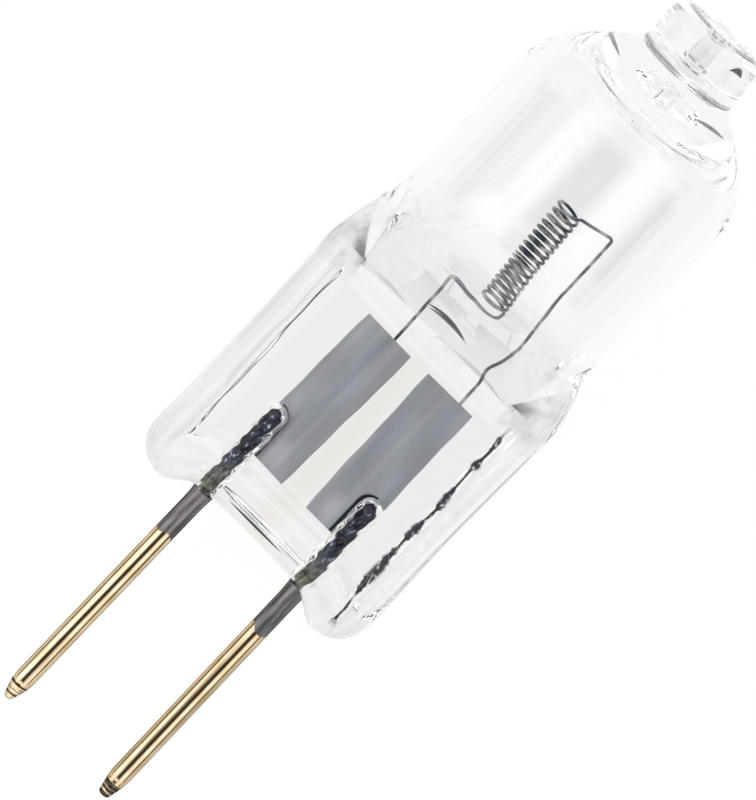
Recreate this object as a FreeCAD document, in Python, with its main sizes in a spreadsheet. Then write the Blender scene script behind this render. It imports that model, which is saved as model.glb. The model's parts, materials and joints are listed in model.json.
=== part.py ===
import FreeCAD, Part
import Sketcher
import math
import os

os.makedirs("parts", exist_ok=True)

# Halogen capsule lamp with two pins, drawn upright along its own axis and then laid down to rest
# Heights are measured along the lamp axis from the plane of the pin tips
# Upright, the axis is Z, the width of the pinch is Y and its thickness is X
# The left pin is the one at +Y, and the face at -X comes to lie uppermost

document = FreeCAD.newDocument("halogen_capsule")
Vector = FreeCAD.Vector
Rotation = FreeCAD.Rotation
Placement = FreeCAD.Placement

# Driving dimensions in millimetres and degrees

DIMENSIONS = {
    "overall_length": 45.5,
    "bulb_diameter": 12.0,
    "bulb_wall": 1.0,
    "dome_start": 38.5,
    "dome_height": 4.85,
    "stub_diameter": 5.0,
    "stub_edge_radius": 0.9,
    "stub_bore_diameter": 1.1,
    "stub_bore_depth": 2.2,
    "cavity_top": 40.6,
    "cavity_top_radius": 1.8,
    "nipple_diameter": 2.7,
    "nipple_length": 0.9,
    "nipple_bore_diameter": 0.8,
    "nipple_bore_depth": 1.8,
    "barrel_start": 32.8,
    "shoulder_top": 31.2,
    "pinch_top": 26.2,
    "shoulder_width": 13.85,
    "waist_width": 13.5,
    "rim_thickness": 4.0,
    "foot_height": 12.7,
    "foot_round": 1.8,
    "foot_edge_thickness": 2.0,
    "foot_arch_rise": 0.9,
    "foot_arch_width": 10.0,
    "web_thickness": 2.9,
    "recess_width": 10.7,
    "recess_bottom": 14.3,
    "recess_top": 25.8,
    "recess_corner_radius": 1.0,
    "cavity_bottom": 26.9,
    "cavity_slot_width": 9.6,
    "cavity_slot_thickness": 0.5,
    "pin_spacing": 6.35,
    "pin_diameter": 1.0,
    "pin_length": 19.0,
    "pin_taper_length": 1.28,
    "pin_nose_diameter": 0.6,
    "pin_seal_diameter": 0.92,
    "pin_clearance": 0.03,
    "foil_length": 8.5,
    "foil_width": 2.8,
    "foil_thickness": 0.03,
    "foil_pin_overlap": 2.55,
    "foil_left_offset": 1.84,
    "foil_left_lean": 2.1,
    "foil_right_offset": 2.21,
    "foil_right_lean": 0.3,
    "wire_diameter": 0.17,
    "wire_clearance": 0.02,
    "coil_diameter": 1.45,
    "coil_bottom": 29.1,
    "coil_pitch": 0.315,
    "coil_turns": 18,
    "coil_offset": 0.47,
    "lead_left_offset": 1.4,
    "lead_right_offset": 2.8,
    "lead_weld_length": 1.0,
    "lead_bend_radius": 0.22,
}

# The powers of the rounded outlines, where 2 is an ellipse and more is squarer

PINCH_POWER = 4.5
ROUND_POWER = 2.0
SLOT_POWER = 2.6

# The power of the cosine in the dome's radius, where 1 is an ellipse and more is slimmer

DOME_POWER = 1.3

# How finely the glass is drawn, as points round an outline and outlines along a form

OUTLINE_POINTS = 48
PINCH_STEPS = 4
SHOULDER_STEPS = 9
BARREL_STEPS = 3
DOME_STEPS = 7
CORNER_STEPS = 5

# The outline is fully round at one over this share of the shoulder
ROUNDING_LEAD = 1.5
# The dome's skin closes inside the stub, at this share of the stub's width
DOME_END_SHARE = 0.85

sheet = document.addObject("Spreadsheet::Sheet", "sizes")
for row, (alias, value) in enumerate(DIMENSIONS.items(), start=1):
    sheet.set(f"A{row}", alias)
    sheet.set(f"B{row}", str(value))
    sheet.setAlias(f"B{row}", alias)
document.recompute()


def size(expression):
    """The value of an expression over the sheet's names."""
    return float(sheet.evalExpression(expression))


def bind(thing, expressions):
    """Ties properties of an object to expressions over the sheet's names."""
    for name, expression in expressions.items():
        thing.setExpression(name, expression)
    return thing


def cylinder(name, radius, height, x="0", y="0", z="0"):
    """A round bar or bore that starts at the given place and runs up the axis."""
    solid = document.addObject("Part::Cylinder", name)
    places = {"Placement.Base.x": x, "Placement.Base.y": y, "Placement.Base.z": z}
    return bind(solid, {"Radius": radius, "Height": height, **places})


def joined(name, pieces):
    """Several solids fused into one."""
    fuse = document.addObject("Part::MultiFuse", name)
    fuse.Shapes = pieces
    fuse.Refine = False
    return fuse


def less(name, base, tool):
    """One solid with another taken out of it."""
    cut = document.addObject("Part::Cut", name)
    cut.Base = base
    cut.Tool = tool
    cut.Refine = False
    return cut


def sketch_on(body, name, role, offsets):
    """A sketch on one of the body's own planes, moved by bound offsets in that plane's frame."""
    sketch = body.newObject("Sketcher::SketchObject", name)
    plane = next(item for item in body.Origin.OriginFeatures if item.Role == role)
    sketch.AttachmentSupport = [(plane, "")]
    sketch.MapMode = "FlatFace"
    return bind(sketch, {"AttachmentOffset." + key: text for key, text in offsets.items()})


def closed_profile(sketch, corners, arcs):
    """Draws a closed outline through corners given as pairs of expressions.

    arcs maps the number of a side to the expression of its radius, and the other sides are straight.
    """
    points = [Vector(size(across), size(along), 0) for across, along in corners]
    count = len(points)
    for number, start in enumerate(points):
        end = points[(number + 1) % count]
        if number in arcs:
            sketch.addGeometry(quarter_arc(start, end), False)
        else:
            sketch.addGeometry(Part.LineSegment(start, end), False)
    for number in range(count):
        link = Sketcher.Constraint("Coincident", number, 2, (number + 1) % count, 1)
        sketch.addConstraint(link)
    for number, (across, along) in enumerate(corners):
        hold_corner(sketch, number, "DistanceX", across, points[number].x)
        hold_corner(sketch, number, "DistanceY", along, points[number].y)
    for number, radius in arcs.items():
        index = sketch.addConstraint(Sketcher.Constraint("Radius", number, size(radius)))
        sketch.setExpression(f"Constraints[{index}]", radius)


def quarter_arc(start, end):
    """An outward arc of a quarter turn that leaves start straight up and arrives at end level."""
    radius = start.x - end.x
    circle = Part.Circle(Vector(end.x, start.y, 0), Vector(0, 0, 1), radius)
    return Part.ArcOfCircle(circle, 0, math.pi / 2)


def hold_corner(sketch, number, kind, expression, value):
    """Holds the start of one side at its distance from the sketch's origin."""
    if expression == "0":
        axis = -2 if kind == "DistanceX" else -1
        sketch.addConstraint(Sketcher.Constraint("PointOnObject", number, 1, axis))
        return
    index = sketch.addConstraint(Sketcher.Constraint(kind, -1, 1, number, 1, value))
    sketch.setExpression(f"Constraints[{index}]", expression)


def turned(name, corners, arcs, offsets):
    """A body turned about its own axis from half of its outline."""
    body = document.addObject("PartDesign::Body", name)
    sketch = sketch_on(body, name + "_outline", "XZ_Plane", offsets)
    closed_profile(sketch, corners, arcs)
    turning = body.newObject("PartDesign::Revolution", name + "_turning")
    turning.Profile = sketch
    turning.ReferenceAxis = (sketch, ["V_Axis"])
    turning.Angle = 360.0
    return body


# Shape of the glass

def eased(share):
    """An even S from 0 to 1 that is level at both ends."""
    held = min(max(share, 0.0), 1.0)
    return held * held * (3 - 2 * held)


def rounded_off(share):
    """How far an edge has drawn in at a share of its rounding, from 1 at the very edge to 0."""
    return 1 - math.sqrt(share * (2 - share))


def oval(name, height, half_width, half_thickness, power):
    """A closed smooth outline across the axis, between an ellipse and a rounded bar."""
    points = []
    for number in range(OUTLINE_POINTS):
        turn = 2 * math.pi * number / OUTLINE_POINTS
        across, out = math.cos(turn), math.sin(turn)
        reach = (abs(across) ** power + abs(out) ** power) ** (-1 / power)
        points.append(Vector(half_thickness * reach * across, half_width * reach * out, height))
    curve = Part.BSplineCurve()
    curve.interpolate(Points=points, PeriodicFlag=True, Parameters=list(range(OUTLINE_POINTS + 1)))
    section = document.addObject("Part::Feature", name)
    section.Shape = Part.Wire(curve.toShape())
    return section


def loft(name, outlines):
    """A smooth solid through outlines, each a height, a half width, a half thickness and a power."""
    solid = document.addObject("Part::Loft", name)
    solid.Sections = [oval(f"{name}_{number}", *outline) for number, outline in enumerate(outlines)]
    solid.Solid = True
    solid.Ruled = False
    return solid


def pinch_half_width(height):
    """Half the width of the pinch, narrowest midway between its foot and its shoulder."""
    middle = (size("sizes.foot_height") + size("sizes.pinch_top")) / 2
    share = (height - middle) / (size("sizes.pinch_top") - middle)
    waist = size("sizes.waist_width") / 2
    return waist + (size("sizes.shoulder_width") / 2 - waist) * share ** 2


def risen_between(height, start, end):
    """The even S between two named heights."""
    low, high = size(f"sizes.{start}"), size(f"sizes.{end}")
    return eased((height - low) / (high - low))


def swell_top():
    """The height at which the glass has become round in width and in thickness."""
    return max(size("sizes.shoulder_top"), size("sizes.barrel_start"))


def shoulder_thickness(height):
    """Half the thickness of the glass above the pinch, which swells more slowly than its width shrinks."""
    rim, bulb = size("sizes.rim_thickness") / 2, size("sizes.bulb_diameter") / 2
    return rim + (bulb - rim) * risen_between(height, "pinch_top", "barrel_start")


def shoulder_outline(height):
    """The outline of the shoulder at a height: from the bar of the pinch to the circle of the barrel."""
    shoulder, bulb = size("sizes.shoulder_width") / 2, size("sizes.bulb_diameter") / 2
    risen = risen_between(height, "pinch_top", "shoulder_top")
    run = size("sizes.shoulder_top") - size("sizes.pinch_top")
    rounding = eased(ROUNDING_LEAD * (height - size("sizes.pinch_top")) / run)
    power = PINCH_POWER + (ROUND_POWER - PINCH_POWER) * rounding
    return height, shoulder + (bulb - shoulder) * risen, shoulder_thickness(height), power


def glass_outlines():
    """The outer form from the rounded foot of the pinch to the top of the dome."""
    foot = size("sizes.foot_height")
    foot_round = size("sizes.foot_round")
    rim = size("sizes.rim_thickness") / 2
    foot_edge = size("sizes.foot_edge_thickness") / 2
    pinch_top = size("sizes.pinch_top")
    bulb = size("sizes.bulb_diameter") / 2
    dome_start = size("sizes.dome_start")
    outlines = []
    for number in range(CORNER_STEPS + 1):
        share = (number / CORNER_STEPS) ** 2
        drawn_in = rounded_off(share)
        height = foot + foot_round * share
        half_width = pinch_half_width(height) - foot_round * drawn_in
        outlines.append((height, half_width, rim - (rim - foot_edge) * drawn_in, PINCH_POWER))
    for number in range(1, PINCH_STEPS + 1):
        height = foot + foot_round + (pinch_top - foot - foot_round) * number / PINCH_STEPS
        outlines.append((height, pinch_half_width(height), rim, PINCH_POWER))
    for number in range(1, SHOULDER_STEPS + 1):
        outlines.append(shoulder_outline(pinch_top + (swell_top() - pinch_top) * number / SHOULDER_STEPS))
    for number in range(1, BARREL_STEPS + 1):
        height = swell_top() + (dome_start - swell_top()) * number / BARREL_STEPS
        outlines.append((height, bulb, bulb, ROUND_POWER))
    dome_height = size("sizes.dome_height")
    last_radius = DOME_END_SHARE * size("sizes.stub_diameter / sizes.bulb_diameter")
    last_turn = math.acos(last_radius ** (1 / DOME_POWER))
    for number in range(1, DOME_STEPS + 1):
        turn = last_turn * number / DOME_STEPS
        radius = bulb * math.cos(turn) ** DOME_POWER
        outlines.append((dome_start + dome_height * math.sin(turn), radius, radius, ROUND_POWER))
    return outlines


def cavity_outlines():
    """The gas space, from the thin slot over the foils to its flat top under the dome.

    Its wall is thick at the bottom of the slot and thins by an even S to that of the bulb.
    """
    bottom = size("sizes.cavity_bottom")
    wall = size("sizes.bulb_wall")
    extra_wall = shoulder_thickness(bottom) - size("sizes.cavity_slot_thickness") / 2 - wall
    slot_width = size("sizes.cavity_slot_width") / 2
    bore = size("sizes.bulb_diameter / 2 - sizes.bulb_wall")
    top = size("sizes.cavity_top")
    corner = size("sizes.cavity_top_radius")
    outlines = []
    for number in range(SHOULDER_STEPS + 1):
        share = number / SHOULDER_STEPS
        risen = eased(share)
        height = bottom + (swell_top() - bottom) * share
        half_width = slot_width + (bore - slot_width) * risen
        half_thickness = shoulder_thickness(height) - wall - extra_wall * (1 - risen)
        power = SLOT_POWER + (ROUND_POWER - SLOT_POWER) * risen
        outlines.append((height, half_width, half_thickness, power))
    for number in range(1, BARREL_STEPS + 1):
        height = swell_top() + (top - corner - swell_top()) * number / BARREL_STEPS
        outlines.append((height, bore, bore, ROUND_POWER))
    for number in range(1, CORNER_STEPS + 1):
        turn = math.pi / 2 * number / CORNER_STEPS
        radius = bore - corner * (1 - math.cos(turn))
        outlines.append((top - corner * (1 - math.sin(turn)), radius, radius, ROUND_POWER))
    return outlines


def exhaust_stub():
    """The sealed end of the exhaust tube, with the open bore left where it was cut off."""
    radius = "sizes.stub_diameter / 2"
    root = "sizes.dome_start + sizes.dome_height / 2"
    top = "sizes.overall_length"
    corners = [
        ("0", root),
        (radius, root),
        (radius, top + " - sizes.stub_edge_radius"),
        (radius + " - sizes.stub_edge_radius", top),
        ("0", top),
    ]
    return turned("exhaust_stub", corners, {2: "sizes.stub_edge_radius"}, {})


def stub_bore():
    """The open bore in the end of the stub, with a round bottom."""
    radius = "sizes.stub_bore_diameter / 2"
    bottom = "sizes.overall_length - sizes.stub_bore_depth"
    bore = cylinder("stub_bore_bar", radius, "sizes.stub_bore_depth", z=bottom + " + " + radius)
    end = document.addObject("Part::Sphere", "stub_bore_end")
    bind(end, {"Radius": radius, "Placement.Base.z": bottom + " + " + radius})
    return joined("stub_bore", [bore, end])


def recess(name, side):
    """The flat pressed between two rims on one face of the pinch."""
    block = document.addObject("Part::Box", name + "_block")
    near = "sizes.web_thickness / 2"
    start = near if side > 0 else "-sizes.rim_thickness"
    bind(block, {
        "Length": "sizes.rim_thickness - " + near,
        "Width": "sizes.recess_width",
        "Height": "sizes.recess_top - sizes.recess_bottom",
        "Placement.Base.x": start,
        "Placement.Base.y": "-sizes.recess_width / 2",
        "Placement.Base.z": "sizes.recess_bottom",
    })
    document.recompute()
    corner = size("sizes.recess_corner_radius")
    rounded = document.addObject("Part::Fillet", name)
    rounded.Base = block
    rounded.Edges = [
        (number, corner, corner)
        for number, edge in enumerate(block.Shape.Edges, start=1)
        if abs(edge.Vertexes[0].X - edge.Vertexes[1].X) > edge.Length / 2
    ]
    return rounded


def foot_arch():
    """The shallow arch between the two lobes at the foot of the pinch."""
    rise = "sizes.foot_arch_rise"
    radius = f"(sizes.foot_arch_width ^ 2 / 4 + {rise} ^ 2) / (2 * {rise})"
    arch = cylinder("foot_arch", radius, "2 * sizes.rim_thickness", x="-sizes.rim_thickness",
                    z=f"sizes.foot_height + {rise} - {radius}")
    arch.Placement.Rotation = Rotation(Vector(0, 1, 0), 90)
    return arch


# Pins, foils and the wire

PIN_DEPTH = "-(sizes.pin_seal_diameter + sizes.foil_thickness) / 2"
WIRE_DEPTH = "(sizes.foil_thickness + sizes.wire_diameter) / 2"
FOIL_BOTTOM = "sizes.pin_length - sizes.foil_pin_overlap"
WELD_BOTTOM = f"{FOIL_BOTTOM} + sizes.foil_length - sizes.lead_weld_length"


def pin(name, side, grown="0"):
    """A round pin with a tapered nose, slimmer from the glass to its rounded inner end.

    grown is added all round, which gives the pin's channel in the glass.
    """
    radius = f"sizes.pin_diameter / 2 + {grown}"
    seal_radius = f"sizes.pin_seal_diameter / 2 + {grown}"
    corners = [
        ("0", "0"),
        (f"sizes.pin_nose_diameter / 2 + {grown}", "0"),
        (radius, "sizes.pin_taper_length"),
        (radius, "sizes.foot_height"),
        (seal_radius, FOIL_BOTTOM),
        (seal_radius, "sizes.pin_length - sizes.pin_seal_diameter / 2"),
        ("0", f"sizes.pin_length + {grown}"),
    ]
    place = {"Base.x": PIN_DEPTH, "Base.z": f"{-side} * sizes.pin_spacing / 2"}
    return turned(name, corners, {5: seal_radius}, place)


def foil(name, side, offset, lean):
    """A flat ribbon between a pin and the wire, leaning a little in its own plane."""
    body = document.addObject("PartDesign::Body", name)
    place = {
        "Base.x": f"{side} * {offset}",
        "Base.y": f"{FOIL_BOTTOM} + sizes.foil_length / 2",
        "Rotation.Angle": f"{side} * {lean}",
    }
    sketch = sketch_on(body, name + "_outline", "YZ_Plane", place)
    half_width = "sizes.foil_width / 2"
    half_length = "sizes.foil_length / 2"
    corners = [
        ("-" + half_width, "-" + half_length),
        (half_width, "-" + half_length),
        (half_width, half_length),
        ("-" + half_width, half_length),
    ]
    closed_profile(sketch, corners, {})
    pad = body.newObject("PartDesign::Pad", name + "_thickness")
    pad.Profile = sketch
    pad.SideType = "Symmetric"
    bind(pad, {"Length": "sizes.foil_thickness"})
    return body


def bent_path(points, radius):
    """A wire of straight runs through the points, with an arc at each bend."""
    edges = []
    start = points[0]
    for before, corner, after in zip(points, points[1:], points[2:]):
        arriving = (corner - before).normalize()
        leaving = (after - corner).normalize()
        turn = arriving.getAngle(leaving)
        set_back = radius * math.tan(turn / 2)
        first = corner - arriving * set_back
        last = corner + leaving * set_back
        bulge = (leaving - arriving).normalize()
        middle = corner + bulge * (radius / math.cos(turn / 2) - radius)
        edges.append(Part.LineSegment(start, first).toShape())
        edges.append(Part.Arc(first, middle, last).toShape())
        start = last
    edges.append(Part.LineSegment(start, points[-1]).toShape())
    return Part.Wire(edges)


def lead(name, points):
    """A round wire swept along a bent path."""
    path = document.addObject("Part::Feature", name + "_path")
    path.Shape = bent_path(points, size("sizes.lead_bend_radius"))
    direction = points[1] - points[0]
    section = document.addObject("Part::Circle", name + "_section")
    section.Placement = Placement(points[0], Rotation(Vector(0, 0, 1), direction))
    bind(section, {"Radius": "sizes.wire_diameter / 2"})
    return swept(name, path, section)


def swept(name, path, section):
    """A solid carried along a path."""
    solid = document.addObject("Part::Sweep", name)
    solid.Sections = [section]
    solid.Spine = (path, [])
    solid.Solid = True
    solid.Frenet = True
    return solid


def filament():
    """One length of wire: two straight leads and the coil between them."""
    coil_radius = size("(sizes.coil_diameter - sizes.wire_diameter) / 2")
    bottom = size("sizes.coil_bottom")
    pitch = size("sizes.coil_pitch")
    height = pitch * size("sizes.coil_turns")
    slope = math.atan(pitch / (2 * math.pi * coil_radius))
    along = Vector(0, -math.cos(slope), math.sin(slope))
    start = Vector(-coil_radius, -size("sizes.coil_offset"), bottom)
    end = start + Vector(0, 0, height)
    helix = document.addObject("Part::Helix", "coil_path")
    bind(helix, {
        "Radius": "(sizes.coil_diameter - sizes.wire_diameter) / 2",
        "Pitch": "sizes.coil_pitch",
        "Height": "sizes.coil_pitch * sizes.coil_turns",
    })
    helix.Placement = Placement(Vector(0, start.y, bottom), Rotation(Vector(0, 0, 1), 180))
    section = document.addObject("Part::Circle", "coil_section")
    section.Placement = Placement(start, Rotation(Vector(0, 0, 1), along))
    bind(section, {"Radius": "sizes.wire_diameter / 2"})
    coil = swept("coil", helix, section)

    depth = size(WIRE_DEPTH)
    weld = size(WELD_BOTTOM)
    exit_height = size("sizes.cavity_bottom")
    left = size("sizes.lead_left_offset")
    right = -size("sizes.lead_right_offset")
    left_corner = start - along * ((left - start.y) / math.cos(slope))
    right_corner = end + along * ((end.y - right) / math.cos(slope))
    left_lead = lead("left_lead", [
        Vector(depth, left, weld), Vector(depth, left, exit_height), left_corner, start,
    ])
    right_lead = lead("right_lead", [
        Vector(depth, right, weld), Vector(depth, right, exit_height), right_corner, end,
    ])
    return joined("filament", [left_lead, coil, right_lead])


def quartz_envelope():
    """The blown and pinched glass, with everything that it holds taken out of it."""
    blank = joined("glass_blank", [loft("glass_skin", glass_outlines()), exhaust_stub()])
    nipple = cylinder("nipple", "sizes.nipple_diameter / 2", "sizes.nipple_length + sizes.bulb_wall",
                      z="sizes.cavity_top - sizes.nipple_length")
    gas_space = less("gas_space", loft("cavity", cavity_outlines()), nipple)
    nipple_bore = cylinder("nipple_bore", "sizes.nipple_bore_diameter / 2", "sizes.nipple_bore_depth",
                           z="sizes.cavity_top - sizes.nipple_length")
    tools = [gas_space, nipple_bore, stub_bore(), foot_arch()]
    tools += [recess("upper_recess", -1), recess("lower_recess", 1)]
    for name, side, lead_offset in SIDES:
        tools.append(pin(f"pin_channel_{name}", side, "sizes.pin_clearance"))
        tools.append(cylinder(
            f"lead_channel_{name}",
            "sizes.wire_diameter / 2 + sizes.wire_clearance",
            f"sizes.cavity_bottom - ({WELD_BOTTOM}) + sizes.wire_clearance",
            x=WIRE_DEPTH, y=f"{side} * {lead_offset}", z=WELD_BOTTOM,
        ))
        tools.append(foil(f"foil_slot_{name}", side, f"sizes.foil_{name}_offset", f"sizes.foil_{name}_lean"))
    return less("quartz_envelope", blank, joined("hollows", tools))


SIDES = [
    ("left", 1, "sizes.lead_left_offset"),
    ("right", -1, "sizes.lead_right_offset"),
]

envelope = quartz_envelope()
parts = [envelope, filament()]
for name, side, _ in SIDES:
    parts.append(foil(f"foil_{name}", side, f"sizes.foil_{name}_offset", f"sizes.foil_{name}_lean"))
    parts.append(pin(f"pin_{name}", side))
document.recompute()

# The rest on a level surface, on the two pin noses and the underside of the shoulder

REST_STEPS = 4000
REST_HALVINGS = 60
STEEPEST_REST = math.pi / 4


def lowest(tilt, profile):
    """The least height over a profile of heights and depths once the axis is tilted up."""
    return min(height * math.sin(tilt) - depth * math.cos(tilt) for height, depth in profile)


def resting_profiles():
    """The underside of the pins and of the glass, as heights along the axis and depths below it."""
    radius = size("sizes.pin_diameter / 2")
    nose = size("sizes.pin_nose_diameter / 2")
    depth = size(PIN_DEPTH)
    pins = [(0.0, depth + nose), (size("sizes.pin_taper_length"), depth + radius)]
    low, high = size("sizes.pinch_top"), size("sizes.barrel_start")
    glass = []
    for number in range(REST_STEPS + 1):
        height = low + (high - low) * number / REST_STEPS
        glass.append((height, shoulder_thickness(height)))
    glass.append((size("sizes.dome_start"), size("sizes.bulb_diameter / 2")))
    return pins, glass


def resting_tilt():
    """The tilt at which the pins and the glass are equally low, found by halving."""
    pins, glass = resting_profiles()
    low, high = 0.0, STEEPEST_REST
    for _ in range(REST_HALVINGS):
        tilt = (low + high) / 2
        if lowest(tilt, glass) < lowest(tilt, pins):
            low = tilt
        else:
            high = tilt
    return tilt


tilt = resting_tilt()
laid_down = Rotation(Vector(0, 1, 0), 90 - math.degrees(tilt))
drop = lowest(tilt, resting_profiles()[0])
turned_glass = envelope.Shape.copy()
turned_glass.Placement = Placement(Vector(0, 0, 0), laid_down).multiply(turned_glass.Placement)
foremost = turned_glass.optimalBoundingBox(False, False).XMax
depth, nose = size(PIN_DEPTH), size("sizes.pin_nose_diameter / 2")
rearmost = (depth - nose) * math.sin(tilt)
pose = Placement(Vector(-(foremost + rearmost) / 2, 0, -drop), laid_down)
for part in parts:
    part.Placement = pose
document.recompute()

# Checks and files

for item in document.Objects:
    if "Invalid" in item.State or "Error" in item.State:
        raise RuntimeError(f"{item.Name} did not build: {item.State}")
for part in parts:
    if part.Shape.isNull() or not part.Shape.isValid():
        raise RuntimeError(f"{part.Label} has no valid shape")

for part in parts:
    part.Shape.exportStep(f"parts/{part.Label}.step")
    box = part.Shape.optimalBoundingBox(False, False)
    print(f"{part.Label:16s} solids {len(part.Shape.Solids)}  volume {part.Shape.Volume:9.3f}  "
          f"x {box.XMin:7.3f} {box.XMax:7.3f}  y {box.YMin:7.3f} {box.YMax:7.3f}  "
          f"z {box.ZMin:7.3f} {box.ZMax:7.3f}")
print(f"tilt {math.degrees(tilt):.5f} degrees, moved {pose.Base.x:.5f} along X and {pose.Base.z:.5f} up")
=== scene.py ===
# %% [markdown]
# # A halogen capsule lamp
# The lamp is a clear quartz capsule with a flat pinched foot, a coiled filament, two grey sealing foils and
# two gold-plated pins. The CAD model already has every piece at its right size and place. Here each piece
# is made again as a smooth surface from the same sizes, because glass shows every facet that its light
# passes through.

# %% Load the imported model
import json
import math
import bpy
import numpy as np
from mathutils import Matrix, Vector


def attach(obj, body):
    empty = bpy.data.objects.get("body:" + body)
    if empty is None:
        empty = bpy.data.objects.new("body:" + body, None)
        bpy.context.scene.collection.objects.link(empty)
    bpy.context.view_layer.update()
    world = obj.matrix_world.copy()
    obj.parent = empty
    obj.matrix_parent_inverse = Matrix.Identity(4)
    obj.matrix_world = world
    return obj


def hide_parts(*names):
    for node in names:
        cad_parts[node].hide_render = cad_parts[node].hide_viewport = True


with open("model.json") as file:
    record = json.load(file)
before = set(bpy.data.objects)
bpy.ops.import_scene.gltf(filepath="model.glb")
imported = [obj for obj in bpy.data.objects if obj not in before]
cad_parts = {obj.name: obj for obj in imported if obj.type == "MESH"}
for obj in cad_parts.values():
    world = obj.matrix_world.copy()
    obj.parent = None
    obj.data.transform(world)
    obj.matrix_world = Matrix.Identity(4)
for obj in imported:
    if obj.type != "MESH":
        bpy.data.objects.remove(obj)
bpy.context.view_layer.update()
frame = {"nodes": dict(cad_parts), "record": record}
print("nodes of the CAD model:", sorted(frame["nodes"]))

# %% [markdown]
# ## The lamp's own axes
# The lamp lies on its pins and on the underside of its shoulder, so its axis rises a little from the floor.
# A lamp is drawn most easily upright, as a glassblower turns it, so every shape below is given in
# millimetres as through, sideways and up the axis, with the pin tips at height 0. The record says where the
# two pins are and which way they point, and that is enough to carry any point from the upright lamp to the
# lying one.

# %% From the upright lamp to the lying one
MM = 0.001
PIN_DEPTH = -0.475
PIN_MOUNT_HEIGHT = 6.99

pin_mounts = frame["record"]["mounts"]
up_axis = -np.array(pin_mounts[0]["axis"])
up_axis /= np.linalg.norm(up_axis)
sideways = np.array([0.0, 1.0, 0.0])
through = np.cross(sideways, up_axis)
LAMP_AXES = np.stack([through, sideways, up_axis])
mounts_middle = np.mean([mount["pos_m"] for mount in pin_mounts], axis=0)
LAMP_START = mounts_middle - MM * (PIN_DEPTH * through + PIN_MOUNT_HEIGHT * up_axis)
LAMP_TILT = math.asin(up_axis[2])


def laid(points):
    """Row frame metres of upright millimetres: the start plus each coordinate along its own axis."""
    return LAMP_START + MM * (np.asarray(points, float) @ LAMP_AXES)


print("the axis rises", round(math.degrees(LAMP_TILT), 3), "degrees")

# %% [markdown]
# ## The camera
# The photograph looks down on the lying lamp from almost straight above, a little from the right pin's
# side, with the lamp running from the lower left corner to the upper right. A long lens from a third of a
# metre away gives the same weak perspective. The camera is placed first, so that each later piece can be
# judged in its view.

# %% Place the camera
CAMERA_PLACE = Vector((10.86, -36.99, 300.02)) * MM
CAMERA_TARGET = Vector((-0.505, -0.011, 5.0)) * MM
CAMERA_UP = Vector((0.71164, 0.69995, 0.06033))
CAMERA_LENS = 295.4


def looking(place, target, up):
    """A camera's matrix: its back away from the target, its right across up and back, its top across both."""
    back = (place - target).normalized()
    right = up.cross(back).normalized()
    top = back.cross(right)
    return Matrix.Translation(place) @ Matrix((right, top, back)).transposed().to_4x4()


camera_data = bpy.data.cameras.new("camera")
camera_data.lens = CAMERA_LENS
camera_data.clip_start = 0.01
camera_data.clip_end = 10.0
camera = bpy.data.objects.new("camera", camera_data)
camera.matrix_world = looking(CAMERA_PLACE, CAMERA_TARGET, CAMERA_UP)
bpy.context.scene.collection.objects.link(camera)
bpy.context.scene.camera = camera
bpy.context.scene.view_settings.view_transform = "Standard"

# %% [markdown]
# ## Grids of points
# Every piece is a grid: rows of points that each go once round the piece. Neighbouring rows are joined by
# quads, and the first and the last row are closed by a fan on one middle point. A piece may hold several
# grids, as the glass does, whose gas space is a second closed surface inside the first.

# %% Faces and meshes from grids


def grid_faces(rows, columns, first):
    """Quads between neighbouring rows, whose last column joins the first, and a fan of triangles at each end.

    A point's number is its row times the columns, plus its column.
    """
    row, column = np.meshgrid(np.arange(rows - 1), np.arange(columns), indexing="ij")
    ahead = (column + 1) % columns
    quads = np.stack([row * columns + column, row * columns + ahead,
                      (row + 1) * columns + ahead, (row + 1) * columns + column], axis=-1).reshape(-1, 4)
    round_row = np.arange(columns)
    next_round = (round_row + 1) % columns
    last_row = (rows - 1) * columns
    bottom_middle = np.full(columns, rows * columns)
    bottom = np.stack([next_round, round_row, bottom_middle], axis=-1)
    top = np.stack([last_row + round_row, last_row + next_round, bottom_middle + 1], axis=-1)
    return (quads + first).tolist() + (bottom + first).tolist() + (top + first).tolist()


SHARP_DEGREES = 60.0


def mesh_of(name, grids):
    """One mesh of closed grids of upright points, smooth but for its sharpest edges."""
    points, faces, first = [], [], 0
    for grid in grids:
        rows, columns = grid.shape[:2]
        faces += grid_faces(rows, columns, first)
        ends = np.stack([grid[0].mean(axis=0), grid[-1].mean(axis=0)])
        points += [grid.reshape(-1, 3), ends]
        first += rows * columns + 2
    mesh = bpy.data.meshes.new(name)
    mesh.from_pydata(laid(np.concatenate(points)).tolist(), [], faces)
    mesh.shade_smooth()
    mesh.set_sharp_from_angle(angle=math.radians(SHARP_DEGREES))
    return mesh


def shown(name, mesh, material, node):
    """A piece of the lamp that takes the place of a CAD node."""
    piece = bpy.data.objects.new(name, mesh)
    bpy.context.scene.collection.objects.link(piece)
    mesh.materials.append(material)
    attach(piece, "root")
    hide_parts(node)
    mesh.calc_loop_triangles()
    print(name, "has", len(mesh.loop_triangles), "triangles")


# %% [markdown]
# ## Outlines across the glass
# The capsule starts as a round tube. Hot jaws press its foot flat, so its section changes from a bar with
# rounded corners to a circle. One formula covers both: an oval whose power is 2 for a circle and more for a
# squarer bar. The columns of the grid are crowded together near the edges of the pressed flat, where the
# surface turns fastest.

# %% Ovals and curves
DENSITY_STEPS = 4001


def eased(share):
    """An even S from 0 to 1: three times the square less twice the cube of the share, level at both ends."""
    held = np.clip(share, 0.0, 1.0)
    return held * held * (3 - 2 * held)


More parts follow.
